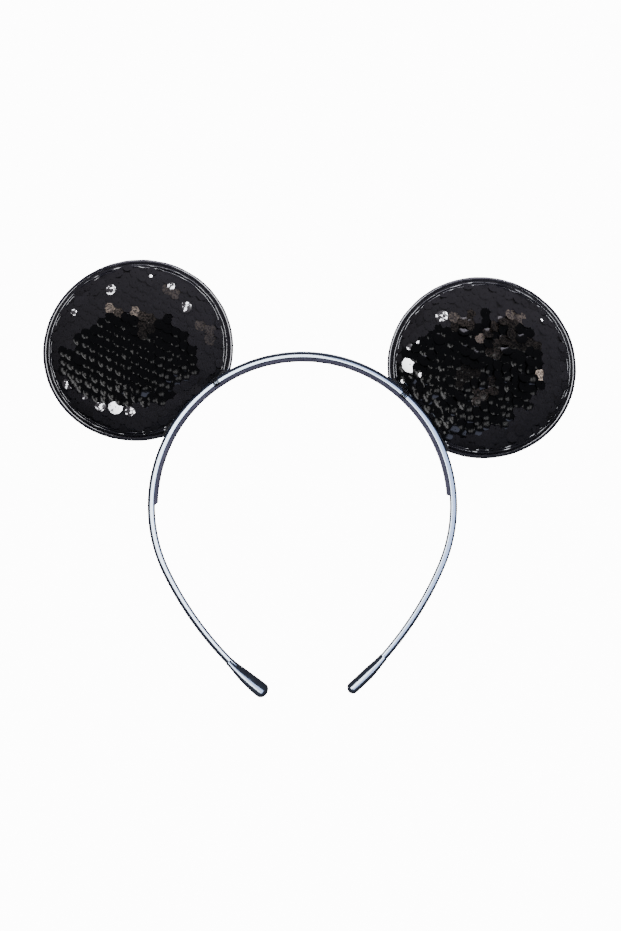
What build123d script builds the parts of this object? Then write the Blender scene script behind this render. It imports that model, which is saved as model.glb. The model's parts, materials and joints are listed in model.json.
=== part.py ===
from build123d import *
import math
import os

# Headband with two round padded animal ears, in millimetres.
# The origin is the centre of the hoop's circle, where the head is held.
# +X is to the right seen from the front, +Z is up through the hoop's crown,
# and the wearer faces along -Y. Angles are from the crown, turning towards +X.

# Hoop: one springy moulded strip, a round crown that flares into two arms
hoop_radius = 62.0            # to the middle of the strip's thickness
hoop_thickness = 2.6
hoop_crown_width = 10.0       # front to back, at the crown
hoop_tip_width = 7.0          # front to back, at the ends of the arms
hoop_edge_round = 0.8
flare_start_angle = 114.5     # where the arms leave the circle
flare_radius = 138.0
flare_sweep = 26.0
flex_angle = 12.0             # where each arm is taken to bend
flex_gap = 0.2                # left there, between the crown and an arm

# Lining strip, glued inside the hoop
lining_thickness = 1.3
lining_inset = 0.7            # from each edge of the hoop
lining_end_angle = 87.0       # that it reaches on each side

# Soft caps on the ends of the arms
cap_length = 18.0
cap_wall = 1.0                # on the inner and outer faces, and past the end
cap_side_wall = 1.1           # on the front and back edges
cap_round = 0.95

# Ears
left_ear_angle = -45.0
right_ear_angle = 53.8
ear_radius = 38.3             # over the piping
ear_sink = 9.7                # how deep the hoop's saddle cuts into an ear
ear_thickness = 17.0          # front to back, at the middle
ear_rim_thickness = 3.2       # front to back, at the seam
cover_thickness = 0.8
stiffener_thickness = 1.0
stiffener_margin = 0.8        # from the stiffener's edge to the seam
piping_height = 1.0           # that the piping stands out of the seam
piping_radius = 1.3

# Seat of an ear on the hoop
seat_clearance = 0.5          # under the seat strip, so that the ear can tilt
seat_thickness = 0.5
seat_width = 5.0
seat_margin = 1.2             # from each end of the seat to the ear's corner

# Thread tie round the hoop and under its lining, near each ear's upper corner
left_tie_inset = 6.8          # from the ear's corner to the tie, along the hoop
right_tie_inset = 8.6
tie_width = 2.4               # along the hoop
tie_thickness = 0.5
tie_clearance = 0.05

# Worked out from the values above
hoop_half = hoop_thickness / 2
hoop_outer = hoop_radius + hoop_half
hoop_inner = hoop_radius - hoop_half
lining_inner = hoop_inner - lining_thickness
arm_end_angle = flare_start_angle + flare_sweep
arm_start_angle = flex_angle + math.degrees(flex_gap / hoop_outer)
cap_start_angle = arm_end_angle - math.degrees(cap_length / flare_radius)
stiffener_half = stiffener_thickness / 2
seam_radius = ear_radius - piping_height
stiffener_radius = seam_radius - stiffener_margin
seat_inner = hoop_outer + seat_clearance
saddle_radius = seat_inner + seat_thickness
ear_reach = saddle_radius + ear_radius - ear_sink
corner_half_angle = math.degrees(math.acos(
    (ear_reach ** 2 + saddle_radius ** 2 - seam_radius ** 2) / (2 * ear_reach * saddle_radius)
))
seat_half_angle = corner_half_angle - math.degrees(seat_margin / saddle_radius)
left_tie_angle = left_ear_angle + corner_half_angle - math.degrees(left_tie_inset / hoop_radius)
right_tie_angle = right_ear_angle - corner_half_angle + math.degrees(right_tie_inset / hoop_radius)
dome_rise = (ear_thickness - ear_rim_thickness) / 2
dome_radius = (seam_radius ** 2 + dome_rise ** 2) / (2 * dome_rise)
dome_centre = ear_thickness / 2 - dome_radius
beyond = 300.0                # longer than anything that it cuts
BASE = (Align.CENTER, Align.CENTER, Align.MIN)


def direction(angle):
    """Unit vector at an angle from the crown."""
    turn = math.radians(angle)
    return Vector(math.sin(turn), 0, math.cos(turn))


def arc(centre, radius, start, end):
    """Arc about a centre, between two angles."""
    middle = (start + end) / 2
    return ThreePointArc(*(centre + direction(a) * radius for a in (start, middle, end)))


def face(*edges):
    """Face inside a closed outline."""
    return make_face(Wire.combine(list(edges))[0])


def joined(*paths):
    """The paths with straight edges across their two ends."""
    first, last = paths[0], paths[-1]
    return face(
        *first,
        *last,
        Line(first[0] @ 0, last[0] @ 0),
        Line(first[-1] @ 1, last[-1] @ 1),
    )


hoop_centre = Vector(0, 0, 0)
flare_centre = direction(flare_start_angle) * (hoop_radius - flare_radius)
arm_end = flare_centre + direction(arm_end_angle) * flare_radius
taper = (hoop_crown_width - hoop_tip_width) / 2 / (hoop_outer - arm_end.Z)


def half_width(height):
    """Half of the hoop's width, front to back, at a height."""
    return hoop_crown_width / 2 - taper * (hoop_outer - height)


def slab(outline, width):
    """Solid with the outline's shape, as thick as the width, centred on its plane."""
    return extrude(outline, amount=width / 2, both=True)


def tapered(outline, margin):
    """Solid as wide as the hoop at each height, plus a margin on each side."""
    high, low = beyond, -beyond
    plan = Polyline(
        (0, half_width(high) + margin, high),
        (0, half_width(low) + margin, low),
        (0, -half_width(low) - margin, low),
        (0, -half_width(high) - margin, high),
        close=True,
    )
    return slab(outline, beyond) & slab(make_face(plan), beyond)


def ring(inner, outer, start, end):
    """Outline of part of a ring about the hoop's centre."""
    return joined([arc(hoop_centre, inner, start, end)], [arc(hoop_centre, outer, start, end)])


def left(solid):
    """The same solid on the other side of the hoop."""
    return mirror(solid, about=Plane.YZ)


def rounded(strip):
    """Strip with the edges that run along it rounded."""
    along = [e for e in strip.edges() if e.length > hoop_crown_width]
    return fillet(along, hoop_edge_round)


def hoop_crown():
    return rounded(tapered(ring(hoop_inner, hoop_outer, -flex_angle, flex_angle), 0))


def hoop_arm():
    def side(offset):
        return [
            arc(hoop_centre, hoop_radius + offset, arm_start_angle, flare_start_angle),
            arc(flare_centre, flare_radius + offset, flare_start_angle, arm_end_angle),
        ]

    return rounded(tapered(joined(side(-hoop_half), side(hoop_half)), 0))


def tip_cap(arm):
    def side(offset):
        return arc(flare_centre, flare_radius + offset, cap_start_angle, arm_end_angle)

    reach = hoop_half + cap_wall
    inside, outside = side(-reach), side(reach)
    nose = arm_end + direction(arm_end_angle + 90) * reach
    outline = face(
        inside,
        outside,
        Line(inside @ 0, outside @ 0),
        ThreePointArc(inside @ 1, nose, outside @ 1),
    )
    block = tapered(outline, cap_side_wall)
    rims = [e for e in block.edges() if abs(e.center().Y) > hoop_tip_width / 4]
    return fillet(rims, cap_round) - arm


def tie(angle, grown=0.0):
    """Thread wrap round the hoop under its lining, open under the ear."""
    inside = hoop_inner - tie_clearance
    low = inside - tie_thickness - grown
    across = 2 * (half_width(hoop_outer * math.cos(math.radians(angle))) + tie_clearance)
    along = tie_width + 2 * grown
    wrap = Box(along, across + 2 * tie_thickness, hoop_outer - low, align=BASE)
    gap = Box(2 * along, across, hoop_thickness * 2, align=BASE)
    return Rot(0, angle, 0) * (Pos(0, 0, low) * wrap - Pos(0, 0, inside + grown) * gap)


def lining(start, end, tie_angle=None):
    """Strip of lining, with a channel over the tie that it covers."""
    strip = tapered(ring(lining_inner, hoop_inner, start, end), -lining_inset)
    if tie_angle is None:
        return strip
    return strip - tie(tie_angle, tie_clearance)


def dome(radius, sphere, base):
    """Back half of a pad: from a flat base to a round face, about the Y axis."""
    def depth(at):
        return dome_centre + math.sqrt(sphere ** 2 - at ** 2)

    outline = face(
        Line((0, base), (radius, base)),
        Line((radius, base), (radius, depth(radius))),
        ThreePointArc((radius, depth(radius)), (radius / 2, depth(radius / 2)), (0, depth(0))),
        Line((0, depth(0)), (0, base)),
    )
    return revolve(outline, axis=Axis.Y)


def disc(radius, thickness):
    return Rot(90, 0, 0) * Cylinder(radius, thickness)


def ear_pieces(angle):
    """The pieces of one ear, as name and solid."""
    cover = dome(seam_radius, dome_radius, 0) - dome(stiffener_radius, dome_radius - cover_thickness, 0)
    wadding = dome(stiffener_radius, dome_radius - cover_thickness, stiffener_half)
    cord = Rot(90, 0, 0) * Torus(ear_radius - piping_radius, piping_radius)
    whole = {
        "front_cover": mirror(cover, about=Plane.XZ),
        "back_cover": cover,
        "front_wadding": mirror(wadding, about=Plane.XZ),
        "back_wadding": wadding,
        "stiffener": disc(stiffener_radius, stiffener_thickness),
        "piping": cord - disc(seam_radius, 4 * piping_radius),
    }
    place = Location(direction(angle) * ear_reach)
    saddle = disc(saddle_radius, beyond)
    pieces = {name: (place * solid) - saddle for name, solid in whole.items()}
    seat = ring(seat_inner, saddle_radius, angle - seat_half_angle, angle + seat_half_angle)
    pieces["seat_strip"] = slab(seat, seat_width)
    return pieces


arm = hoop_arm()
cap = tip_cap(arm)
nodes = {
    "hoop_crown": hoop_crown(),
    "hoop_right_arm": arm,
    "hoop_left_arm": left(arm),
    "right_tip_cap": cap,
    "left_tip_cap": left(cap),
    "lining_crown": lining(-flex_angle, flex_angle),
    "lining_right": lining(arm_start_angle, lining_end_angle, right_tie_angle),
    "lining_left": lining(-lining_end_angle, -arm_start_angle, left_tie_angle),
    "right_ear_tie": tie(right_tie_angle),
    "left_ear_tie": tie(left_tie_angle),
}
for side, angle in (("left", left_ear_angle), ("right", right_ear_angle)):
    for name, solid in ear_pieces(angle).items():
        nodes[f"{side}_ear_{name}"] = solid

os.makedirs("parts", exist_ok=True)
for name, solid in nodes.items():
    export_step(solid, f"parts/{name}.step")
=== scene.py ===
import json
import math
import random
import bpy
import bmesh
from mathutils import Matrix, Vector, noise
from mathutils.bvhtree import BVHTree


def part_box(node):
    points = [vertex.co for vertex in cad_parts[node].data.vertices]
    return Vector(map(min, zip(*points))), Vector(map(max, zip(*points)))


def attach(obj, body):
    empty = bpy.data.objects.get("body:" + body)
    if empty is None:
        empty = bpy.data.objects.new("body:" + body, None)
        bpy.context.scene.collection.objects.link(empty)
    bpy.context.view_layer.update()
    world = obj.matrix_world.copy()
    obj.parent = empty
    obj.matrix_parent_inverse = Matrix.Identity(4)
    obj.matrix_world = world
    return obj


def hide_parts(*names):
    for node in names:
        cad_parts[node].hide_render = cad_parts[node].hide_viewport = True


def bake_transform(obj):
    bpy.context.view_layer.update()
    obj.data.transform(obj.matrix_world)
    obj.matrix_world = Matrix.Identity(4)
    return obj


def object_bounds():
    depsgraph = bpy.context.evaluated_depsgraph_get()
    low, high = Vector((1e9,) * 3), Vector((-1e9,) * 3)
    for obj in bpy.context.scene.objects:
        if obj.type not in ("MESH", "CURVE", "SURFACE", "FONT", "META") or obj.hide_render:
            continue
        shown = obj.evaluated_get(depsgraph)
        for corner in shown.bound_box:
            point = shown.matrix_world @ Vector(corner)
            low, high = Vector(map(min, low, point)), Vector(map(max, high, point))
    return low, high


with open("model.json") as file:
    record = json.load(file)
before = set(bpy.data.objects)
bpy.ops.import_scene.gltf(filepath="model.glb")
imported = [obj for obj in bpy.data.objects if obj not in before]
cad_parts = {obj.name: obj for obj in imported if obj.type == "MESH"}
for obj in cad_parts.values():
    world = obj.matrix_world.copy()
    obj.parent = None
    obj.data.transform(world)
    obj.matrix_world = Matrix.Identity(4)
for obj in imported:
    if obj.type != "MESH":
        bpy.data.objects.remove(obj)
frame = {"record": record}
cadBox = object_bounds()
mm = 0.001
yAxis = Vector((0, 1, 0))
origin = Vector((0, 0, 0))
sides = {"left": -1, "right": 1}
weld = 0.002 * mm  # points this near are one
random.seed(41)


def around(angle, radius):  # point at an angle from the crown, turning towards +X
    turn = math.radians(angle)
    return Vector((math.sin(turn), 0, math.cos(turn))) * radius


def smoothRise(x):
    x = min(max(x, 0.0), 1.0)
    return x * x * (3 - 2 * x)


def addToScene(name, data):
    thing = bpy.data.objects.new(name, data)
    bpy.context.scene.collection.objects.link(thing)
    return thing


def meshFrom(bm, name):
    mesh = bpy.data.meshes.new(name)
    bm.to_mesh(mesh)
    bm.free()
    return mesh


def pieceFrom(bm, name, material, sharp=40):  # sharp: degrees, past which an edge isn't smoothed
    mesh = meshFrom(bm, name)
    mesh.materials.append(material)
    mesh.polygons.foreach_set("use_smooth", [True] * len(mesh.polygons))
    mesh.set_sharp_from_angle(angle=math.radians(sharp))
    return addToScene(name, mesh)


def finishPiece(bm, name, material, sharp=40):
    bmesh.ops.remove_doubles(bm, verts=bm.verts, dist=weld)
    bmesh.ops.recalc_face_normals(bm, faces=bm.faces)
    return pieceFrom(bm, name, material, sharp)


def evaluatedMesh(thing):
    return bpy.data.meshes.new_from_object(thing.evaluated_get(bpy.context.evaluated_depsgraph_get()))


def applyModifiers(piece):
    ready = evaluatedMesh(piece)
    piece.modifiers.clear()
    piece.data = ready


def moveAll(bm, vec):
    bmesh.ops.translate(bm, vec=vec, verts=bm.verts)


def turnAll(bm, degrees, axis):
    turn = Matrix.Rotation(math.radians(degrees), 3, axis)
    bmesh.ops.rotate(bm, cent=origin, matrix=turn, verts=bm.verts)


def revolve(bm, geom, steps, merge):  # a full turn about Y
    bmesh.ops.spin(bm, geom=geom, cent=origin, axis=yAxis, dvec=(0, 0, 0),
                   angle=math.radians(360), steps=steps, use_merge=True)
    bmesh.ops.remove_doubles(bm, verts=bm.verts, dist=merge)


class Paint:  # node shorthand, used by every material
    def __init__(self, name, colour, roughness, **sockets):
        self.material = bpy.data.materials.new(name)
        self.material.use_nodes = True
        self.nodes = self.material.node_tree.nodes
        self.links = self.material.node_tree.links
        self.shader = self.nodes["Principled BSDF"]
        self.shader.inputs["Base Color"].default_value = (*colour, 1)
        self.shader.inputs["Roughness"].default_value = roughness
        for socket, value in sockets.items():
            self.shader.inputs[socket.replace("_", " ")].default_value = value
        self.coords = self.nodes.new("ShaderNodeTexCoord")
        self.height = None

    def add(self, kind, inputs=None, **settings):
        node = self.nodes.new(kind)
        for key, value in settings.items():
            setattr(node, key, value)
        for key, value in (inputs or {}).items():
            if isinstance(value, bpy.types.NodeSocket):
                self.links.new(value, node.inputs[key])
            else:
                node.inputs[key].default_value = value
        return node

    def space(self, scale=(1, 1, 1), turn=(0, 0, 0)):
        return self.add("ShaderNodeMapping", {
            "Vector": self.coords.outputs["Object"], "Scale": scale,
            "Rotation": [math.radians(a) for a in turn]}).outputs[0]

    def noise(self, scale, detail=3, stretch=(1, 1, 1), roughness=0.5):
        return self.add("ShaderNodeTexNoise", {
            "Vector": self.space(stretch), "Scale": scale, "Detail": detail,
            "Roughness": roughness}).outputs["Fac"]

    def wave(self, scale, distortion, way, turn=(0, 0, 0)):
        return self.add("ShaderNodeTexWave", {
            "Vector": self.space(turn=turn), "Scale": scale, "Distortion": distortion},
            bands_direction=way).outputs["Fac"]

    def band(self, value, low, high, start=0.0, end=1.0):
        return self.add("ShaderNodeMapRange", {
            "Value": value, "From Min": low, "From Max": high,
            "To Min": start, "To Max": end}).outputs["Result"]

    def sum(self, first, second, how="ADD"):
        return self.add("ShaderNodeMath", {0: first, 1: second}, operation=how).outputs[0]

    def mix(self, factor, first, second):
        def tint(c):
            return c if isinstance(c, bpy.types.NodeSocket) else (*c, 1)
        node = self.add("ShaderNodeMix", data_type="RGBA")
        for socket, value in ((0, factor), (6, tint(first)), (7, tint(second))):
            if isinstance(value, bpy.types.NodeSocket):
                self.links.new(value, node.inputs[socket])
            else:
                node.inputs[socket].default_value = value
        return node.outputs[2]

    def bump(self, height, distance, strength=1.0):
        inputs = {"Height": height, "Distance": distance, "Strength": strength}
        if self.height:
            inputs["Normal"] = self.height
        self.height = self.add("ShaderNodeBump", inputs).outputs["Normal"]

    def done(self, colour=None, roughness=None):
        if colour:
            self.links.new(colour, self.shader.inputs["Base Color"])
        if roughness:
            self.links.new(roughness, self.shader.inputs["Roughness"])
        if self.height:
            self.links.new(self.height, self.shader.inputs["Normal"])
        return self.material


def hoopPlastic():  # glossy black moulding, with faint flow waves and handling scuffs
    paint = Paint("hoop_plastic", (0.006, 0.006, 0.008), 0.1, Coat_Weight=0.7, Coat_Roughness=0.04)
    scuffs = paint.band(paint.noise(900, 6, (1, 0.2, 1), 0.7), 0.58, 0.72)
    mottle = paint.noise(60, 3)
    paint.bump(paint.noise(55, 2), 0.05 * mm, 0.5)
    paint.bump(paint.noise(2600, 4), 0.004 * mm, 0.6)
    colour = paint.mix(scuffs, (0.006, 0.006, 0.008), (0.016, 0.016, 0.02))
    rough = paint.sum(paint.band(mottle, 0.3, 0.7, 0.07, 0.14), paint.band(scuffs, 0, 1, 0, 0.12))
    return paint.done(colour, rough)


def capVinyl():  # dipped soft vinyl, a little wavier than the hoop
    paint = Paint("cap_vinyl", (0.005, 0.005, 0.006), 0.13, Coat_Weight=0.5, Coat_Roughness=0.08)
    paint.bump(paint.noise(180, 3), 0.12 * mm, 0.5)
    paint.bump(paint.noise(1800, 4), 0.01 * mm, 0.6)
    rough = paint.band(paint.noise(300, 4), 0.3, 0.7, 0.09, 0.22)
    return paint.done(paint.mix(paint.noise(400), (0.004, 0.004, 0.005), (0.012, 0.012, 0.014)), rough)


def liningCloth():  # dark slate velour tape, with a short nap and a fine weave under it
    paint = Paint("lining_cloth", (0.03, 0.033, 0.05), 0.85, Sheen_Weight=0.35, Sheen_Roughness=0.4,
                  Sheen_Tint=(0.5, 0.55, 0.75, 1), Specular_IOR_Level=0.25)
    nap = paint.noise(2200, 5, roughness=0.7)
    patches = paint.band(paint.noise(160, 3), 0.35, 0.7)
    ribs = paint.wave(420.0, 1.5, "Y")
    paint.bump(ribs, 0.05 * mm, 0.5)
    paint.bump(nap, 0.12 * mm, 0.9)
    colour = paint.mix(patches, (0.06, 0.06, 0.085), (0.095, 0.092, 0.125))
    colour = paint.mix(paint.band(nap, 0.55, 0.8, 0, 0.6), colour, (0.16, 0.16, 0.21))
    return paint.done(colour, paint.band(nap, 0.3, 0.7, 0.75, 0.95))


def tieThread():  # twisted black polyester thread
    paint = Paint("tie_thread", (0.012, 0.012, 0.014), 0.55, Sheen_Weight=0.3)
    ply = paint.wave(900.0, 0.6, "DIAGONAL", (35, 30, 45))
    paint.bump(ply, 0.08 * mm, 0.9)
    paint.bump(paint.noise(4000, 3), 0.03 * mm, 0.5)
    return paint.done(paint.mix(ply, (0.006, 0.006, 0.008), (0.03, 0.03, 0.034)))


def padCloth():  # black knitted backing that the sequins are sewn to
    paint = Paint("pad_cloth", (0.004, 0.004, 0.005), 0.8, Sheen_Weight=0.04, Specular_IOR_Level=0.15)
    warp, weft = (paint.wave(620.0, 0.8, way, (0, 45, 0)) for way in ("X", "Z"))
    weave = paint.sum(warp, weft, "MULTIPLY")
    paint.bump(weave, 0.12 * mm, 0.9)
    paint.bump(paint.noise(1500, 4), 0.05 * mm, 0.4)
    colour = paint.mix(weave, (0.011, 0.0105, 0.013), (0.024, 0.023, 0.027))
    return paint.done(colour, paint.band(weave, 0, 1, 0.9, 0.7))


def filmRelief(paint):  # pressed rings and a slightly wavy sheet
    disc = paint.add("ShaderNodeVectorMath", {0: paint.coords.outputs["UV"], 1: (0.5, 0.5, 0)},
                     operation="DISTANCE").outputs["Value"]
    rings = paint.add("ShaderNodeMath", {0: paint.sum(disc, 95.0, "MULTIPLY")}, operation="SINE").outputs[0]
    paint.bump(rings, 0.006 * mm, 0.3)
    paint.bump(paint.noise(700, 3), 0.05 * mm, 0.35)
    return disc, paint.add("ShaderNodeAttribute", attribute_name="cast").outputs["Fac"]


def paintWarmReflection(paint, cast, colour):  # painted reflection of a warm light, in speckles, on discs that are turned
    speckle = paint.band(paint.noise(1300, 4, roughness=0.7), 0.44, 0.56, 0.12, 1.0)
    # painted reflection: the warm colour stands in for warm light mirrored by the turned discs
    return paint.mix(paint.sum(cast, speckle, "MULTIPLY"), colour, (0.62, 0.51, 0.4))


def sequinGloss():  # the glossy side
    ground = (0.008, 0.0074, 0.0086)
    paint = Paint("sequin_gloss", ground, 0.13, Coat_Weight=0.2, Coat_Roughness=0.06)
    disc, cast = filmRelief(paint)
    colour = paint.mix(paint.band(disc, 0.44, 0.5, 0.0, 0.35), ground, (0.01, 0.009, 0.012))
    colour = paintWarmReflection(paint, cast, colour)
    return paint.done(colour, paint.band(paint.noise(1200), 0.3, 0.7, 0.1, 0.16))


def sequinMatte():  # the flocked side
    paint = Paint("sequin_matte", (0.018, 0.0172, 0.02), 0.8, Specular_IOR_Level=0.12, Sheen_Weight=0.03)
    cast = filmRelief(paint)[1]
    fibres = paint.noise(2600, 4, roughness=0.7)
    paint.bump(fibres, 0.05 * mm, 0.6)
    dark = paint.mix(paint.noise(75, 4), (0.008, 0.0077, 0.0095), (0.016, 0.0153, 0.0175))
    colour = paintWarmReflection(paint, cast, paint.mix(fibres, dark, (0.026, 0.0245, 0.029)))
    return paint.done(colour, paint.band(fibres, 0.3, 0.7, 0.7, 0.9))


def sequinFlash():  # the glossy side, where part of a disc mirrors a lamp
    paint = Paint("sequin_flash", (0.01, 0.009, 0.01), 0.2, Coat_Weight=0.2, Coat_Roughness=0.06)
    cast = filmRelief(paint)[1]
    # the pale colour is a painted reflection of the lamp, broken up by noise
    broken = paint.band(paint.sum(cast, paint.noise(650, 3), "SUBTRACT"), -0.02, 0.02)
    colour = paint.mix(broken, (0.01, 0.009, 0.01), (0.55, 0.54, 0.55))
    return paint.done(colour, paint.band(paint.noise(1200), 0.3, 0.7, 0.18, 0.26))


def pipingVinyl():  # patent edge binding, creased across by the curve
    paint = Paint("piping_vinyl", (0.006, 0.006, 0.008), 0.14, Coat_Weight=0.7, Coat_Roughness=0.05)
    paint.bump(paint.noise(260, 4), 0.16 * mm, 0.5)
    paint.bump(paint.noise(1500, 3), 0.02 * mm, 0.5)
    rough = paint.band(paint.noise(500, 3), 0.3, 0.75, 0.12, 0.3)
    return paint.done(paint.mix(paint.noise(300), (0.004, 0.004, 0.006), (0.014, 0.013, 0.018)), rough)


def seatFelt():
    paint = Paint("seat_felt", (0.012, 0.012, 0.014), 0.95, Sheen_Weight=0.4)
    fibres = paint.noise(2600, 6, (1, 0.3, 1), 0.75)
    paint.bump(fibres, 0.2 * mm, 0.9)
    return paint.done(paint.mix(fibres, (0.006, 0.006, 0.008), (0.03, 0.03, 0.034)))


def fibreFill():
    paint = Paint("fibre_fill", (0.75, 0.75, 0.72), 0.95, Sheen_Weight=0.5)
    fibres = paint.noise(900, 8, (1, 0.4, 1), 0.8)
    paint.bump(fibres, 0.6 * mm, 1.0)
    return paint.done(paint.mix(fibres, (0.6, 0.6, 0.57), (0.86, 0.86, 0.84)))


def pulpCard():
    paint = Paint("pulp_card", (0.33, 0.26, 0.18), 0.9)
    fibres = paint.noise(700, 8, (1, 1, 0.25), 0.75)
    paint.bump(fibres, 0.08 * mm, 0.7)
    return paint.done(paint.mix(fibres, (0.26, 0.2, 0.13), (0.42, 0.34, 0.25)))


finishes = {
    "hoop": hoopPlastic(), "cap": capVinyl(), "lining": liningCloth(), "thread": tieThread(),
    "pad": padCloth(), "piping": pipingVinyl(), "felt": seatFelt(), "fill": fibreFill(), "card": pulpCard(),
    "gloss": sequinGloss(), "matte": sequinMatte(), "flash": sequinFlash(),
}
print("stage: materials")

# The hoop: one moulded strip. Each half is drawn from the crown down to its tip, unbent,
# though the model's arm hinge stands in for the springy plastic.
hoop = {
    "outer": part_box("hoop_crown")[1].z,
    "thickness": 2.6 * mm,
    "crownWidth": 10.0 * mm,
    "tipWidth": 7.0 * mm,
    "edgeRound": (1.45 * mm, 0.35 * mm),  # outside and inside
    "flareStart": 114.5,
    "flareRadius": 138.0 * mm,
    "flareSweep": 26.0,
    "bendEnd": {"left": 31.0, "right": 36.0},  # degrees from the crown, by which the bend is over
    "roundSteps": 92,
    "flareSteps": 40,
}
hoop["middle"] = hoop["outer"] - hoop["thickness"] / 2
hoop["inner"] = hoop["outer"] - hoop["thickness"]
flareCentre = around(hoop["flareStart"], hoop["middle"] - hoop["flareRadius"])
armEndAngle = hoop["flareStart"] + hoop["flareSweep"]
armEnd = flareCentre + around(armEndAngle, hoop["flareRadius"])
taper = (hoop["crownWidth"] - hoop["tipWidth"]) / (hoop["outer"] - armEnd.z)


def widthAt(z):
    return hoop["crownWidth"] - taper * (hoop["outer"] - z)


def roundedSection(bm, deep, wide, edges, segments=5):  # a face across the strip, at the crown
    square = bmesh.ops.create_grid(bm, x_segments=1, y_segments=1, size=0.5)["verts"]
    bmesh.ops.scale(bm, vec=(deep, wide, 1), verts=square)
    turnAll(bm, -90, "Y")
    outside = [v for v in square if v.co.z > 0]
    inside = [v for v in square if v.co.z < 0]
    for corners, edge in zip((outside, inside), edges):
        bmesh.ops.bevel(bm, geom=corners, offset=edge, segments=segments, profile=0.5,
                        affect="VERTICES", material=-1)
    return list(bm.faces)


def sweep(bm, faces, centre, angle, steps):  # carries a face on round a centre, away from the crown
    geom = faces + list({e for f in faces for e in f.edges}) + list({v for f in faces for v in f.verts})
    swept = bmesh.ops.spin(bm, geom=geom, cent=centre, axis=yAxis, dvec=(0, 0, 0),
                           angle=math.radians(angle), steps=steps, space=Matrix.Identity(4))
    return [g for g in swept["geom_last"] if isinstance(g, bmesh.types.BMFace)]


def mirrorToLeft(bm, side):
    if side == "left":
        bmesh.ops.scale(bm, vec=(-1, 1, 1), verts=bm.verts)


def bendWithArm(piece):
    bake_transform(piece)


for side in sides:
    bm = bmesh.new()
    section = roundedSection(bm, hoop["thickness"], hoop["crownWidth"], hoop["edgeRound"])
    moveAll(bm, (0, 0, hoop["middle"]))
    section = sweep(bm, section, origin, hoop["flareStart"], hoop["roundSteps"])
    sweep(bm, section, flareCentre, hoop["flareSweep"], hoop["flareSteps"])
    for v in bm.verts:
        v.co.y *= widthAt(v.co.z) / hoop["crownWidth"]
    mirrorToLeft(bm, side)
    strip = finishPiece(bm, "hoop_" + side, finishes["hoop"], 50)
    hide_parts("hoop_" + side + "_arm")
    if side == "right":
        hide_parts("hoop_crown")
    bendWithArm(strip)
print("stage: hoop")

# The lining: a strip of velour tape glued inside the hoop
lining = {
    "inner": frame["record"]["mounts"][0]["dims"]["r_mm"] * mm,
    "inset": 0.7 * mm,
    "edgeRound": (0.1 * mm, 0.55 * mm),
    "end": 87.0,
    "snip": {"left": 0.75, "right": 0.4},  # slant of each end, which is longest against the hoop
    "ripple": 0.07 * mm,
    "ripples": 260,  # how close together, in turns to the metre
    "steps": 88,
}
lining["thickness"] = hoop["inner"] - lining["inner"]
for side in sides:
    bm = bmesh.new()
    wide = hoop["crownWidth"] - 2 * lining["inset"]
    section = roundedSection(bm, lining["thickness"], wide, lining["edgeRound"], 3)
    middle = lining["inner"] + lining["thickness"] / 2
    moveAll(bm, (0, 0, middle))
    last = sweep(bm, section, origin, lining["end"], lining["steps"])
    for v in {v for f in last for v in f.verts}:
        v.co.z -= (v.co.length - lining["inner"]) * lining["snip"][side]
    for v in bm.verts:
        v.co.y *= (widthAt(v.co.z) - 2 * lining["inset"]) / wide
        if v.co.length < middle:  # the nap side isn't quite even
            v.co *= 1 + lining["ripple"] * noise.noise(v.co * lining["ripples"]) / middle
    mirrorToLeft(bm, side)
    strip = finishPiece(bm, "lining_" + side + "_strip", finishes["lining"], 60)
    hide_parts("lining_" + side)
    if side == "right":
        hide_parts("lining_crown")
    bendWithArm(strip)
print("stage: lining")

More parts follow.
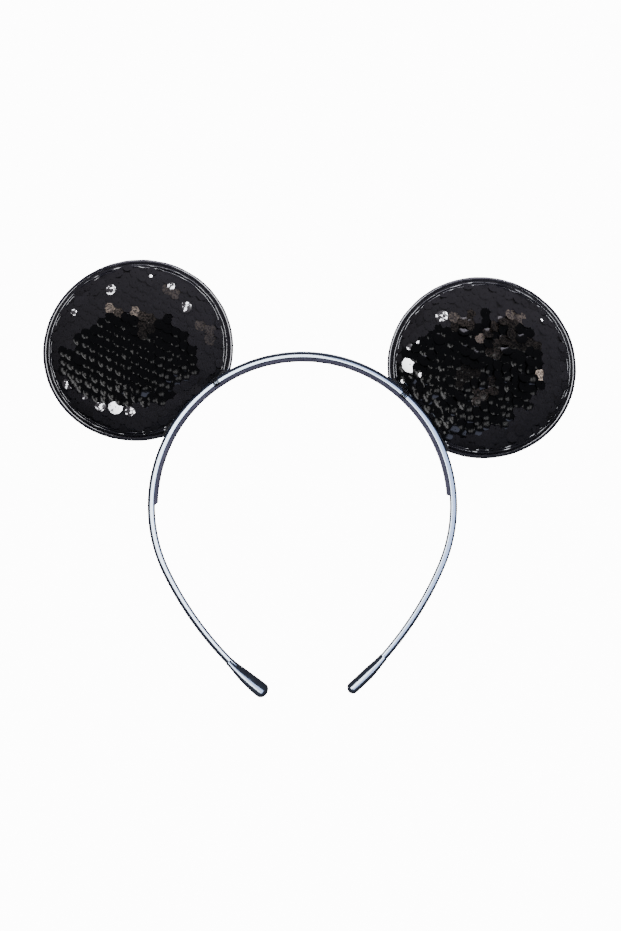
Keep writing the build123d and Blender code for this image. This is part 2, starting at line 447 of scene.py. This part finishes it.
# The soft caps pushed over the ends of the arms
cap = {
    "length": 18.0 * mm,
    "deep": {"left": 4.9 * mm, "right": 4.4 * mm},
    "sideWall": 1.1 * mm,
    "edgeRound": {"left": (1.7 * mm, 2.9 * mm), "right": (1.75 * mm, 1.9 * mm)},
    "mouth": 3.1 * mm,  # depth over the mouth, which fits close round the hoop
    "mouthEnd": 0.55,  # share of the length by which the mouth has grown to the full depth
    "swell": {"left": 0.2, "right": 0.02},  # share added to the depth towards the nose
    "swellFrom": 0.35,  # where the swelling starts, and the length it takes, as shares
    "swellOver": 0.6,
    "sideShare": 0.25,  # how much of that growth the width shares in
    "blunt": 0.12,  # share of the depth left at the very nose
    "steps": 24,
    "noseSteps": 7,
}
for side in sides:
    deep = cap["deep"][side]
    wide = hoop["tipWidth"] + 2 * cap["sideWall"]
    turn = math.degrees(cap["length"] / hoop["flareRadius"])
    bm = bmesh.new()
    section = roundedSection(bm, deep, wide, cap["edgeRound"][side], 6)
    moveAll(bm, (0, 0, hoop["flareRadius"]))
    last = sweep(bm, section, origin, turn, cap["steps"])
    forward = around(turn + 90, 1)
    centre = around(turn, hoop["flareRadius"])
    reach = deep / 2
    for i in range(cap["noseSteps"]):  # the nose is round, so each step is shorter and narrower
        a, b = (math.radians(90 * k / cap["noseSteps"]) for k in (i, i + 1))
        grown = bmesh.ops.extrude_face_region(bm, geom=last)
        last = [g for g in grown["geom"] if isinstance(g, bmesh.types.BMFace)]
        verts = list({v for f in last for v in f.verts})
        bmesh.ops.translate(bm, vec=forward * reach * (math.sin(b) - math.sin(a)), verts=verts)
        shrink = max(math.cos(b), cap["blunt"]) / max(math.cos(a), cap["blunt"])
        sideShrink = (wide / 2 - reach * (1 - math.cos(b))) / (wide / 2 - reach * (1 - math.cos(a)))
        here = centre + forward * reach * math.sin(b)
        for v in verts:
            out = (v.co - here).dot(around(turn, 1))
            v.co += around(turn, 1) * out * (shrink - 1)
            v.co.y *= sideShrink
    for v in bm.verts:  # thin at the mouth, and fuller towards the nose
        along = math.degrees(math.atan2(v.co.x, v.co.z)) / turn
        grow = (cap["mouth"] / deep - 1) * (1 - smoothRise(along / cap["mouthEnd"]))
        grow += cap["swell"][side] * smoothRise((along - cap["swellFrom"]) / cap["swellOver"])
        radial = Vector((v.co.x, 0, v.co.z)).normalized()
        out = v.co.dot(radial) - hoop["flareRadius"]
        v.co += radial * out * grow
        v.co.y *= 1 + grow * cap["sideShare"]
    turnAll(bm, armEndAngle - turn, "Y")
    moveAll(bm, flareCentre)
    mirrorToLeft(bm, side)
    sleeve = finishPiece(bm, "cap_" + side, finishes["cap"], 55)
    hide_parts(side + "_tip_cap")
    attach(sleeve, side + "_arm")
print("stage: caps")


# The ears: a stuffed cloth disc each, sat on the hoop by a hollow in its lower edge
earShape = {
    "long": {"left": 39.2 * mm, "right": 38.8 * mm},  # half the outline's length, over the piping
    "short": {"left": 37.1 * mm, "right": 37.2 * mm},
    "lean": {"left": 14.5, "right": -14.5},  # degrees, of the long way from level
    "depth": 8.1 * mm,  # from the seam to the middle of a face
    "fullness": 2.3,  # the two powers of the crowned outline
    "shoulder": 0.6,
    "piping": 1.0 * mm,  # radius of the covered cord
    "seatGap": 0.06 * mm,
    "seatSides": 240,
    "seatDepth": 60.0 * mm,  # more than the ear is thick
    "stitched": 2.5 * mm,  # under the hoop's outside, where the cloth holds still
    "free": 7.0 * mm,  # over the hoop's outside, where the ear tips as one
    "profileSteps": 18,
    "roundSteps": 120,
    "weld": 0.0005,  # share of the ear's half length
}
filling = {"size": 0.94, "cover": 1.1 * mm, "card": 0.5 * mm, "cardSides": 96, "seatGap": 1.3 * mm}
pad = {
    "voxel": 1.7 * mm,
    "frames": 16,
    "limit": 1.3 * mm,  # how far the cloth may be pushed
    "seam": (0.93, 0.985),  # shares of the way out between which the edge seam takes hold
    "baseHold": 3.0 * mm,  # height over the hoop by which the seat's stitches let go
}
knit = {  # how the cloth behaves, by the solver's own names
    "quality": 6,
    "mass": 0.15,
    "tension_stiffness": 12,
    "compression_stiffness": 12,
    "bending_stiffness": 0.2,
    "use_pressure": True,
    "uniform_pressure_force": 5.0,
    "vertex_group_mass": "sewn",
    "shrink_min": -0.035,
}


class Ear:
    def __init__(self, side):
        low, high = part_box(side + "_ear_piping")
        self.side = side
        self.centre = (low + high) / 2
        self.outward = Vector((self.centre.x, 0, self.centre.z)).normalized()
        lean = math.radians(earShape["lean"][side])
        self.longWay = Vector((math.cos(lean), 0, math.sin(lean)))
        self.shortWay = Vector((-math.sin(lean), 0, math.cos(lean)))
        self.long = earShape["long"][side] - earShape["piping"]
        self.short = earShape["short"][side] - earShape["piping"]

    def place(self, u, v, y):  # u and v are shares of the half length and height
        return self.centre + self.longWay * u * self.long + self.shortWay * v * self.short + yAxis * y

    def shares(self, point):
        offset = point - self.centre
        return offset.dot(self.longWay) / self.long, offset.dot(self.shortWay) / self.short

    def bend(self, piece):  # bakes the piece's placement into its mesh
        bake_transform(piece)

    def hollow(self, piece, radius):  # cuts the seat for the hoop
        bm = bmesh.new()
        bmesh.ops.create_cone(bm, cap_ends=True, segments=earShape["seatSides"], radius1=radius,
                              radius2=radius, depth=earShape["seatDepth"])
        turnAll(bm, 90, "X")
        cutter = finishPiece(bm, "seat_cutter", finishes["pad"])
        cut = piece.modifiers.new("seat", "BOOLEAN")
        cut.object = cutter
        cut.operation = "DIFFERENCE"
        cut.solver = "EXACT"
        applyModifiers(piece)
        bpy.data.objects.remove(cutter)


ears = {side: Ear(side) for side in sides}


def padForm(ear, size=1.0, inward=0.0):  # a closed disc, crowned on both faces
    bm = bmesh.new()
    steps = earShape["profileSteps"]
    outline = []
    for i in range(2 * steps + 1):
        a = math.pi * i / (2 * steps)
        r = math.sin(a)
        y = (earShape["depth"] - inward) * max(0.0, 1 - r ** earShape["fullness"]) ** earShape["shoulder"]
        outline.append(bm.verts.new((r, -y if i < steps else y, 0)))
    edges = [bm.edges.new(pair) for pair in zip(outline, outline[1:])]
    revolve(bm, outline + edges, earShape["roundSteps"], earShape["weld"])
    for v in bm.verts:
        v.co = ear.place(v.co.x * size, v.co.z * size, v.co.y)
    return bm


def fillPad(ear):  # a layer of wadding on each side of the card stiffener
    for layer, facing in (("front_wadding", -1), ("back_wadding", 1)):
        bm = padForm(ear, filling["size"], filling["cover"])
        cut = bmesh.ops.bisect_plane(bm, geom=list(bm.verts) + list(bm.edges) + list(bm.faces),
                                     plane_co=yAxis * facing * filling["card"],
                                     plane_no=yAxis * -facing, clear_outer=True)
        rim = [g for g in cut["geom_cut"] if isinstance(g, bmesh.types.BMEdge)]
        bmesh.ops.contextual_create(bm, geom=rim)
        keepInside(ear, bm, layer, "fill")
    bm = bmesh.new()
    bmesh.ops.create_circle(bm, cap_ends=True, segments=filling["cardSides"], radius=filling["size"])
    turnAll(bm, 90, "X")
    grown = bmesh.ops.extrude_face_region(bm, geom=list(bm.faces))
    far = [g for g in grown["geom"] if isinstance(g, bmesh.types.BMVert)]
    bmesh.ops.translate(bm, vec=yAxis, verts=far)
    for v in bm.verts:
        v.co = ear.place(v.co.x, v.co.z, (v.co.y - 0.5) * 2 * filling["card"])
    keepInside(ear, bm, "stiffener", "card")


def keepInside(ear, bm, layer, finish):
    piece = finishPiece(bm, ear.side + "_ear_" + layer + "_layer", finishes[finish])
    ear.hollow(piece, hoop["outer"] + filling["seatGap"])
    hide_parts(ear.side + "_ear_" + layer)
    ear.bend(piece)


def stuff(ear, piece):  # lets the wadding push the cloth out between its sewn edges
    remesh = piece.modifiers.new("remesh", "REMESH")
    remesh.mode = "VOXEL"
    remesh.voxel_size = pad["voxel"]
    applyModifiers(piece)
    start = [v.co.copy() for v in piece.data.vertices]
    held = piece.vertex_groups.new(name="sewn")
    for v in piece.data.vertices:
        u, w = ear.shares(v.co)
        reach = math.hypot(u, w)
        base = Vector((v.co.x, 0, v.co.z)).length - hoop["outer"]
        low, far = pad["seam"]
        edgeHold = smoothRise((reach - low) / (far - low))
        baseHold = 1 - smoothRise(base / pad["baseHold"])
        held.add([v.index], max(edgeHold, baseHold), "REPLACE")
    cloth = piece.modifiers.new("cloth", "CLOTH")
    for setting, value in knit.items():
        setattr(cloth.settings, setting, value)
    cloth.settings.effector_weights.gravity = 0
    cloth.point_cache.frame_start = 1
    cloth.point_cache.frame_end = pad["frames"]
    for number in range(1, pad["frames"] + 1):
        bpy.context.scene.frame_set(number)
    applyModifiers(piece)
    for v, was in zip(piece.data.vertices, start):
        move = v.co - was
        if move.length > pad["limit"]:
            v.co = was + move.normalized() * pad["limit"]
    piece.vertex_groups.clear()
    bpy.context.scene.frame_set(1)
    smooth = piece.modifiers.new("smooth", "SUBSURF")
    smooth.levels = smooth.render_levels = 1
    applyModifiers(piece)
    for v in piece.data.vertices:  # the base lies on the hoop and not in it
        flat = Vector((v.co.x, 0, v.co.z))
        least = hoop["outer"] + earShape["seatGap"]
        if flat.length < least:
            flat = flat.normalized() * least
            v.co.x, v.co.z = flat.x, flat.z
    piece.data.polygons.foreach_set("use_smooth", [True] * len(piece.data.polygons))


# The edge binding: a cord covered in patent vinyl, and the folds that its inner edge is gathered into
folds = (  # share of the way out to the edge, radius, how wavy
    (0.956, 0.42 * mm, 0.006),
    (0.93, 0.34 * mm, 0.012),
)
cord = {
    "sides": 12,
    "steps": 200,
    "weld": 0.01 * mm,
    "lumps": ((0.1, 190), (0.06, 520)),  # share of the radius, and how close together
    "waves": (9, 50),  # how close together along a fold, and how unlike the next fold's
    "sunk": (0.2, 1.6),  # depth below the cloth in radii, and how much that varies
    "dips": (5, 30),  # as the waves, for that depth
}
wellClear = 40 * mm  # from the ear's middle to where a probe towards its skin starts


def edgeCord(bm, ear, reach, radius, skin=None, wavy=0.0):
    loop = bmesh.new()
    bmesh.ops.create_circle(loop, segments=cord["sides"], radius=radius)
    moveAll(loop, (ear.long * reach, 0, 0))
    revolve(loop, list(loop.verts) + list(loop.edges), cord["steps"], cord["weld"])
    for v in loop.verts:
        way = Vector((v.co.x, 0, v.co.z)).normalized()
        ring = way * ear.long * reach
        lump = 1
        for depth, close in cord["lumps"]:
            lump += depth * noise.noise(v.co * close)
        close, unlike = cord["waves"]
        co = (v.co - ring) * lump + ring * (1 + wavy * noise.noise(way * close + yAxis * reach * unlike))
        v.co = ear.centre + ear.longWay * co.x + ear.shortWay * co.z * ear.short / ear.long + yAxis * co.y
        if skin:  # a fold lies half sunk in the ear's front
            hit = skin.ray_cast(ear.place(way.x * reach, way.z * reach, -wellClear), yAxis)[0]
            level, vary = cord["sunk"]
            close, unlike = cord["dips"]
            sunk = radius * (level + vary * noise.noise(way * close + yAxis * reach * unlike))
            v.co.y += (hit.y if hit else 0) + sunk
    mesh = meshFrom(loop, "cord")
    bm.from_mesh(mesh)
    bpy.data.meshes.remove(mesh)


def binding(ear, skin):
    bm = bmesh.new()
    edgeCord(bm, ear, 1.0, earShape["piping"])
    for reach, radius, wavy in folds:
        edgeCord(bm, ear, reach, radius, skin, wavy)
    piece = finishPiece(bm, ear.side + "_ear_edging", finishes["piping"], 180)
    ear.hollow(piece, hoop["outer"] + earShape["seatGap"])
    return piece


# Sequins: sewn in staggered rows, each lapped over the row below it
sequin = {
    "radius": 2.62 * mm,
    "sides": 10,
    "flat": 1.95 * mm,  # radius of the flat middle
    "hole": 0.22 * mm,
    "thickness": 0.1 * mm,
    "cup": 0.25 * mm,  # how far the curled rim drops
    "pitch": 3.75 * mm,
    "rows": 3.45 * mm,
    "jitter": (0.12 * mm, 0.1 * mm),  # along a row and across it
    "rowLean": {"left": -28.5, "right": -25.5},
    "lift": 0.3 * mm,  # of each middle off the cloth
    "lap": 6.0,  # degrees, of each sequin over the row below
    "sideLap": 4.0,
    "ruffled": {"left": 3.6, "right": 7.5},  # spread of tilt in the brushed middle, in degrees
    "smooth": 1.2,  # the same, towards the edge
    "strays": 0.04,  # share that stand up and catch the light
    "strayTilt": (10.0, 20.0),
    "reach": 0.925,  # how near the edge seam they are sewn
    "seatClear": 1.3 * mm,  # least distance from the hoop
    "edgeSize": 0.75,  # of the outermost, to which the size falls between these shares of the way out
    "edgeFall": (0.82, 0.92),
    "flattened": 0.4,  # curl of the matte ones, as a share of the glossy ones
    "matteLap": 0.5,  # share of the lap that the matte ones lose
    # where the glossy side is brushed up: millimetres right of and above the middle, half sizes, lean
    "brushed": {"left": (-2.5, -3.5, 28, 19, 8), "right": (-5, -3, 31, 24, 20)},
    "fade": (0.9, 1.06),  # shares of that reach between which it gives way to the matte side
    "blur": 0.025,  # how ragged that border is
    "toneSpread": (0.6, 1.0),  # how much of its patch's painted warm reflection a turned sequin shows
    "flashLift": 0.9 * mm,
    "flashTilt": 3,
}
# Stray sequins that mirror a lamp: millimetres right of and above the middle, size, and share that shines
flashes = {
    "left": ((-9.2, -23.2, 1.15, 0.62), (-15.4, -22.6, 0.85, 0.475), (-3.4, -25.0, 0.85, 0.45),
             (-10.0, 24.6, 0.85, 0.46), (6.4, 29.8, 0.25, 1.0), (20.4, 16.6, 0.9, 0.45),
             (14.6, 25.4, 0.6, 0.44), (-25.2, 15.8, 0.5, 0.45), (-28.6, -13.2, 0.9, 0.45),
             (-21.6, -18.8, 0.45, 0.45), (-24.4, -14.8, 0.35, 0.48)),
    "right": ((-29.6, 1.8, 1.3, 1.0), (-32.6, -4.8, 0.35, 0.6), (-16.2, 20.8, 1.0, 0.46),
              (24.4, 18.4, 0.25, 1.0), (-29.4, 8.8, 0.55, 0.44), (-26.0, 10.6, 0.35, 0.45),
              (-25.4, -2.6, 0.4, 0.46)),
}
# Patches of turned sequins given a painted warm reflection: middle and half sizes in millimetres, tone,
# and share of the sequins
warmReflections = {
    "left": ((-7, 16, 4, 2.4, 0.75, 1.0), (-1, 15.5, 4, 2.2, 0.65, 1.0), (4, 13.5, 3, 2.5, 0.4, 1.0),
             (4, 8.5, 3, 5, 0.16, 0.8), (28, 6, 3, 4, 0.1, 0.8), (15, 23, 4, 3, 0.1, 0.8)),
    "right": ((-7, 18.5, 6, 4, 0.3, 0.9), (5, 18, 4, 5, 0.26, 0.6), (13, 18.5, 3, 3, 0.2, 1.0),
              (-1.5, 12.5, 2.4, 2.4, 3.0, 1.0), (24, -3.5, 2.4, 2.4, 1.4, 1.0), (11, 11, 4, 3, 0.22, 0.8),
              (6, 7, 3, 3, 0.3, 1.0), (19, 8, 5, 3, 0.2, 0.6), (-2, -12, 2.5, 2.5, 0.4, 1.0),
              (6, -9, 4, 5, 0.17, 0.8), (-7, -3, 4, 5, 0.12, 0.7)),
}


def sequinBlank():
    bm = bmesh.new()
    rims = []
    for radius, drop in ((sequin["hole"], 0), (sequin["flat"], 0), (sequin["radius"], sequin["cup"])):
        ring = bmesh.ops.create_circle(bm, segments=sequin["sides"], radius=radius)["verts"]
        bmesh.ops.translate(bm, vec=(0, 0, -drop), verts=ring)
        rims.append(list({e for v in ring for e in v.link_edges}))
    bmesh.ops.bridge_loops(bm, edges=rims[0] + rims[1])
    bmesh.ops.bridge_loops(bm, edges=rims[1] + rims[2])
    bmesh.ops.recalc_face_normals(bm, faces=bm.faces)
    bmesh.ops.solidify(bm, geom=list(bm.faces), thickness=sequin["thickness"])
    uv = bm.loops.layers.uv.new("UVMap")
    across = 2 * sequin["radius"]
    for f in bm.faces:
        for loop in f.loops:
            loop[uv].uv = (0.5 + loop.vert.co.x / across, 0.5 + loop.vert.co.y / across)
    mesh = meshFrom(bm, "sequin_blank")
    mesh.attributes.new("cast", "FLOAT", "POINT")
    return mesh


def sewOn(bm, blank, spot, normal, rowWay, tilts, cast, size, curl=1.0):
    across = (rowWay - normal * rowWay.dot(normal)).normalized()
    up = normal.cross(across)
    stand = Matrix((across, up, normal)).transposed().to_4x4()
    tip = Matrix.Rotation(math.radians(-tilts[0]), 4, "X")
    lean = Matrix.Rotation(math.radians(tilts[1]), 4, "Y")
    spin = Matrix.Rotation(random.uniform(0, math.pi), 4, "Z")
    copy = blank.copy()
    shape = Matrix.Diagonal((size, size, size * curl, 1))
    copy.transform(Matrix.Translation(spot) @ stand @ (tip @ lean) @ spin @ shape)
    copy.attributes["cast"].data.foreach_set("value", [cast] * len(copy.vertices))
    bm.from_mesh(copy)
    bpy.data.meshes.remove(copy)


def warmReflectionAt(ear, spot):
    offset = (spot - ear.centre) / mm
    for x, z, wide, high, tone, share in warmReflections[ear.side]:
        if math.hypot((offset.x - x) / wide, (offset.z - z) / high) < 1 and random.random() < share:
            return tone
    return 0


def mattedAt(ear, spot):  # 0 well inside the brushed region, 1 outside it
    x, z, wide, high, lean = sequin["brushed"][ear.side]
    offset = Matrix.Rotation(math.radians(lean), 3, "Y") @ ((spot - ear.centre) / mm - Vector((x, 0, z)))
    low, far = sequin["fade"]
    reach = math.hypot(offset.x / wide, offset.z / high) + random.gauss(0, sequin["blur"])
    return smoothRise((reach - low) / (far - low))


def dress(ear, skin, facing, blank):  # facing is -1 for the front of the ear and 1 for its back
    lean = math.radians(sequin["rowLean"][ear.side]) * -facing
    rowWay = Vector((math.cos(lean), 0, math.sin(lean)))
    rowStep = Vector((-math.sin(lean), 0, math.cos(lean)))
    kinds = ("gloss", "matte", "flash") if facing < 0 else ("gloss", "matte")
    layers = {kind: bmesh.new() for kind in kinds}
    alongJitter, stepJitter = sequin["jitter"]
    fallFrom, fallTo = sequin["edgeFall"]
    count = int(ear.long / sequin["rows"]) + 2
    for row in range(-count, count + 1):
        for k in range(-count, count + 1):
            along = (k + 0.5 * (row % 2)) * sequin["pitch"] + random.gauss(0, alongJitter)
            step = row * sequin["rows"] + random.gauss(0, stepJitter)
            spot = ear.centre + rowWay * along + rowStep * step
            reach = math.hypot(*ear.shares(spot))
            if reach > sequin["reach"] or spot.length - hoop["outer"] < sequin["seatClear"]:
                continue
            hit, normal = skin.ray_cast(spot + yAxis * facing * wellClear, yAxis * -facing)[:2]
            matted = mattedAt(ear, spot)
            flipped = random.random() < matted
            spread = sequin["smooth"] if flipped else sequin["ruffled"][ear.side]
            tilts = [sequin[lap] * (1 - sequin["matteLap"] * matted) + random.gauss(0, spread)
                     for lap in ("lap", "sideLap")]
            if not flipped and random.random() < sequin["strays"] * (1 - matted):
                tilts = [tilt + random.choice((-1, 1)) * random.uniform(*sequin["strayTilt"])
                         for tilt in tilts]
            size = 1 - (1 - sequin["edgeSize"]) * smoothRise((reach - fallFrom) / (fallTo - fallFrom))
            # cast: strength of the painted warm reflection on this sequin
            cast = warmReflectionAt(ear, spot) * random.uniform(*sequin["toneSpread"])
            steepest = math.radians(max(abs(tilt) for tilt in tilts))
            lift = sequin["lift"] + sequin["radius"] * 0.5 * math.sin(steepest)
            sewOn(layers["matte" if flipped else "gloss"], blank, hit + normal * lift, normal,
                  rowWay * -facing, tilts, cast, size, sequin["flattened"] if flipped else 1.0)
    if "flash" in kinds:
        for x, z, size, shining in flashes[ear.side]:
            hit = skin.ray_cast(ear.centre + Vector((x, 0, z)) * mm - yAxis * wellClear, yAxis)[0]
            spot = hit - yAxis * sequin["flashLift"]
            tilts = [random.uniform(-sequin["flashTilt"], sequin["flashTilt"]) for _ in range(2)]
            sewOn(layers["flash"], blank, spot, -yAxis, rowWay, tilts, shining, size)
    face = ear.side + ("_ear_front_" if facing < 0 else "_ear_back_")
    return [pieceFrom(bm, face + kind + "_sequins", finishes[kind], 30) for kind, bm in layers.items()]


blank = sequinBlank()
for side, ear in ears.items():
    cushion = finishPiece(padForm(ear), side + "_ear_pad", finishes["pad"], 180)
    ear.hollow(cushion, hoop["outer"] + earShape["seatGap"])
    stuff(ear, cushion)
    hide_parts(side + "_ear_front_cover", side + "_ear_back_cover")
    bm = bmesh.new()
    bm.from_mesh(cushion.data)
    skin = BVHTree.FromBMesh(bm)
    bm.free()
    fillPad(ear)
    edging = binding(ear, skin)
    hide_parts(side + "_ear_piping")
    sequins = dress(ear, skin, -1, blank) + dress(ear, skin, 1, blank)
    for piece in [cushion, edging] + sequins:
        ear.bend(piece)
    print("stage:", side, "ear")
bpy.data.meshes.remove(blank)

# The felt strip in each ear's seat, and the thread tie beside it
seatStrip = {
    "thickness": 0.9 * mm,
    "width": 5.0 * mm,
    "edgeRound": (0.25 * mm, 0.25 * mm),
    "gap": 0.1 * mm,  # off the hoop
    "steps": 36,
}
tie = {
    "turns": 5,
    "thread": 0.24 * mm,  # radius
    "width": 2.2 * mm,
    "over": 0.2 * mm,  # how far past the hoop's outside the ends reach, into the ear
    "under": 0.02 * mm,  # gap between the thread and the hoop's inside
    "corner": 1.2 * mm,
    "straight": 0.6,  # share of the way across that a turn lies straight
    "slant": 0.25 * mm,  # the most that a turn crosses the strip by
}


def angleOf(point):
    return math.degrees(math.atan2(point.x, point.z))


def threadTurn(points, radius):
    curve = bpy.data.curves.new("thread", "CURVE")
    curve.dimensions = "3D"
    curve.bevel_depth = radius
    curve.bevel_resolution = 2
    curve.use_fill_caps = True
    spline = curve.splines.new("NURBS")
    spline.points.add(len(points) - 1)
    for point, co in zip(spline.points, points):
        point.co = (*co, 1)
    spline.order_u = 3
    spline.use_endpoint_u = True
    carrier = addToScene("thread", curve)
    mesh = evaluatedMesh(carrier)
    bpy.data.objects.remove(carrier)
    return mesh


for side, ear in ears.items():
    low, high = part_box(side + "_ear_seat_strip")
    middle = angleOf(ear.centre)
    heights = (high.z, low.z) if side == "right" else (low.z, high.z)
    corners = [angleOf(Vector((x, 0, z))) for x, z in zip((low.x, high.x), heights)]
    reach = (max(corners) - min(corners)) / 2
    bm = bmesh.new()
    section = roundedSection(bm, seatStrip["thickness"], seatStrip["width"], seatStrip["edgeRound"], 2)
    moveAll(bm, (0, 0, hoop["outer"] + seatStrip["gap"] + seatStrip["thickness"] / 2))
    sweep(bm, section, origin, 2 * reach, seatStrip["steps"])
    turnAll(bm, middle - reach, "Y")
    strip = finishPiece(bm, side + "_ear_seat_felt", finishes["felt"], 50)
    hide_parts(side + "_ear_seat_strip")
    ear.bend(strip)

    low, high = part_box(side + "_ear_tie")
    outward = around(angleOf((low + high) / 2), 1)
    forward = Vector((outward.z, 0, -outward.x))
    half = (high.y - low.y) / 2 - tie["thread"]
    straight = half * tie["straight"]
    top = hoop["outer"] + tie["over"]
    under = hoop["inner"] - tie["thread"] - tie["under"]
    corner = under + tie["corner"]
    bm = bmesh.new()
    for turn in range(tie["turns"]):
        share = turn / (tie["turns"] - 1) - 0.5
        slant = random.uniform(-1, 1) * tie["slant"]
        line = [(top, -half, -slant), (corner, -half, 0), (under, -half, 0), (under, -straight, 0),
                (under, straight, slant), (under, half, slant), (corner, half, slant), (top, half, slant)]
        points = [outward * r + forward * (share * tie["width"] + s) + yAxis * y for r, y, s in line]
        mesh = threadTurn(points, tie["thread"])
        bm.from_mesh(mesh)
        bpy.data.meshes.remove(mesh)
    wrap = finishPiece(bm, side + "_ear_thread", finishes["thread"], 60)
    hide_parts(side + "_ear_tie")
    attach(wrap, side + "_arm")
print("stage: seats and ties")

# Floor, light and camera. The glossy pieces and the dark cloth each have their own lamps, as when
# flags on a set keep a lamp off one part of it.
studio = {
    "distance": 1.0,
    "lens": 94.3,
    "sensor": 36,
    "nearest": 0.01,
    "cameraX": 3.74 * mm,
    "cameraZ": 16.61 * mm,
    "cameraRoll": 1.5,
    "floorDrop": 0.8 * mm,
    "floorSize": 6.0,
    "paper": 13.0,  # how bright the floor and backdrop look
    "ambient": (0.085, 0.088, 0.1, 1),
}
lamps = (  # name, place, size, power, colour, what it lights
    ("edge_left", (-0.41, -1.5, 0.1), (0.96, 0.9), 160, (0.72, 0.84, 1.0), "gloss"),
    ("edge_right", (0.47, -1.5, 0.0), (0.8, 1.0), 72, (0.46, 0.62, 1.0), "gloss"),
    ("edge_side", (1.05, -1.1, 0.0), (0.6, 1.2), 45, (0.46, 0.62, 1.0), "hoop"),
    ("edge_over", (0.2, 0.9, 1.4), (1.0, 0.8), 20, (0.72, 0.82, 1.0), "gloss"),
    ("lining_front", (-0.2, -1.4, 0.2), (0.6, 0.6), 17, (0.95, 0.92, 1), "lining"),
    ("sequin_glint", (-0.62, -1.0, -0.35), (0.22, 0.34), 0.75, (1, 1, 1), "brushed"),
    ("glint_over", (-0.79, -1.0, -0.05), (0.22, 0.34), 0.5, (1, 1, 1), "brushed"),
    ("glint_under", (-0.45, -1.0, -0.65), (0.22, 0.34), 0.75, (1, 1, 1), "brushed"),
    ("glint_middle", (-0.36, -1.2, -0.26), (0.14, 0.3), 0.42, (1, 0.98, 0.96), "brushed"),
    ("glint_right", (0.5, -1.0, -0.4), (0.22, 0.34), 0.32, (1, 1, 1), "brushed"),
    ("glint_beside", (0.28, -1.2, -0.5), (0.2, 0.3), 0.3, (1, 1, 1), "brushed"),
    ("glint_low", (0.3, -0.5, -1.0), (0.9, 0.6), 2.4, (0.66, 0.72, 1), "brushed"),
    ("glint_top", (0.3, -0.3, 1.3), (0.9, 0.6), 6, (0.9, 0.86, 1), "brushed"),
    ("flash_key", (0.8, -1.0, 0.7), (0.4, 0.4), 190, (0.96, 0.97, 1), "flash"),
    ("cloth_key", (0.1, -1.2, 0.5), (0.5, 0.5), 10, (1, 0.97, 0.95), "cloth"),
    ("piping_left", (0.55, -1.5, 0.3), (0.7, 1.8), 85, (0.96, 0.97, 1), "left_piping"),
    ("piping_right", (-0.55, -1.5, 0.2), (0.7, 1.8), 85, (0.93, 0.95, 1), "right_piping"),
    ("piping_top", (0.1, -0.8, 1.3), (1.2, 0.6), 14, (0.9, 0.88, 1), "piping"),
    ("cloth_low", (0.3, -0.5, -1.0), (0.9, 0.6), 15, (0.66, 0.72, 1), "soft"),
    ("cloth_top", (0.3, -0.3, 1.3), (0.9, 0.6), 16, (0.9, 0.86, 1), "soft"),
    ("cloth_back", (-0.6, 1.3, 0.5), (0.8, 0.8), 24, (1, 1, 1), "padding"),
    ("piping_back", (-0.6, 1.3, 0.5), (0.8, 0.8), 6, (1, 1, 1), "piping"),
)


def makeStage():
    bm = bmesh.new()
    bmesh.ops.create_grid(bm, x_segments=1, y_segments=1, size=studio["floorSize"])
    moveAll(bm, (0, 0, cadBox[0][2] - studio["floorDrop"]))
    pale = Paint("floor_paper", (0.9, 0.9, 0.9), 0.9, Emission_Color=(1, 1, 1, 1),
                 Emission_Strength=studio["paper"])
    floor = pieceFrom(bm, "floor", pale.material)
    floor.visible_glossy = False
    floor.visible_diffuse = False


def softLight(name, place, size, power, colour, lit):
    lamp = bpy.data.lights.new(name, "AREA")
    lamp.shape = "RECTANGLE"
    lamp.size, lamp.size_y = size
    lamp.energy = power
    lamp.color = colour
    holder = addToScene(name, lamp)
    holder.location = place
    holder.rotation_euler = (-Vector(place)).to_track_quat("-Z", "Y").to_euler()
    holder.visible_camera = False
    receivers = bpy.data.collections.new(name + "_lit")
    for piece in lit:
        receivers.objects.link(piece)
    holder.light_linking.receiver_collection = receivers


def makeWorld():
    world = bpy.data.worlds.new("studio")
    bpy.context.scene.world = world
    world.use_nodes = True
    nodes, links = world.node_tree.nodes, world.node_tree.links
    path = nodes.new("ShaderNodeLightPath")
    mix = nodes.new("ShaderNodeMix")
    mix.data_type = "RGBA"
    links.new(path.outputs["Is Camera Ray"], mix.inputs[0])
    mix.inputs[6].default_value = studio["ambient"]
    mix.inputs[7].default_value = (*[studio["paper"]] * 3, 1)
    links.new(mix.outputs[2], nodes["Background"].inputs["Color"])


def makeCamera():
    lens = bpy.data.cameras.new("camera")
    lens.lens = studio["lens"]
    lens.sensor_width = studio["sensor"]
    lens.clip_start = studio["nearest"]
    camera = addToScene("camera", lens)
    camera.location = (studio["cameraX"], -studio["distance"], studio["cameraZ"])
    camera.rotation_euler = (math.radians(90), math.radians(studio["cameraRoll"]), 0)
    bpy.context.scene.camera = camera


pieces = [o for o in bpy.context.scene.collection.objects if o.type == "MESH" and not o.hide_render]


def finishedIn(*names):
    return [o for o in pieces if o.data.materials[0] in [finishes[name] for name in names]]


groups = {
    "gloss": finishedIn("hoop", "cap"),
    "hoop": finishedIn("hoop"),
    "lining": finishedIn("lining"),
    "brushed": finishedIn("gloss"),
    "flash": finishedIn("flash"),
    "cloth": finishedIn("pad", "felt", "matte"),
    "soft": finishedIn("lining", "thread", "pad", "felt", "matte"),
    "piping": finishedIn("piping"),
    "padding": finishedIn("lining", "thread", "pad", "felt", "matte", "gloss"),
}
for side in sides:
    groups[side + "_piping"] = [o for o in groups["piping"] if o.name.startswith(side)]
makeStage()
makeWorld()
makeCamera()
for name, place, size, power, colour, group in lamps:
    softLight(name, place, size, power, colour, groups[group])
print("stage: studio")
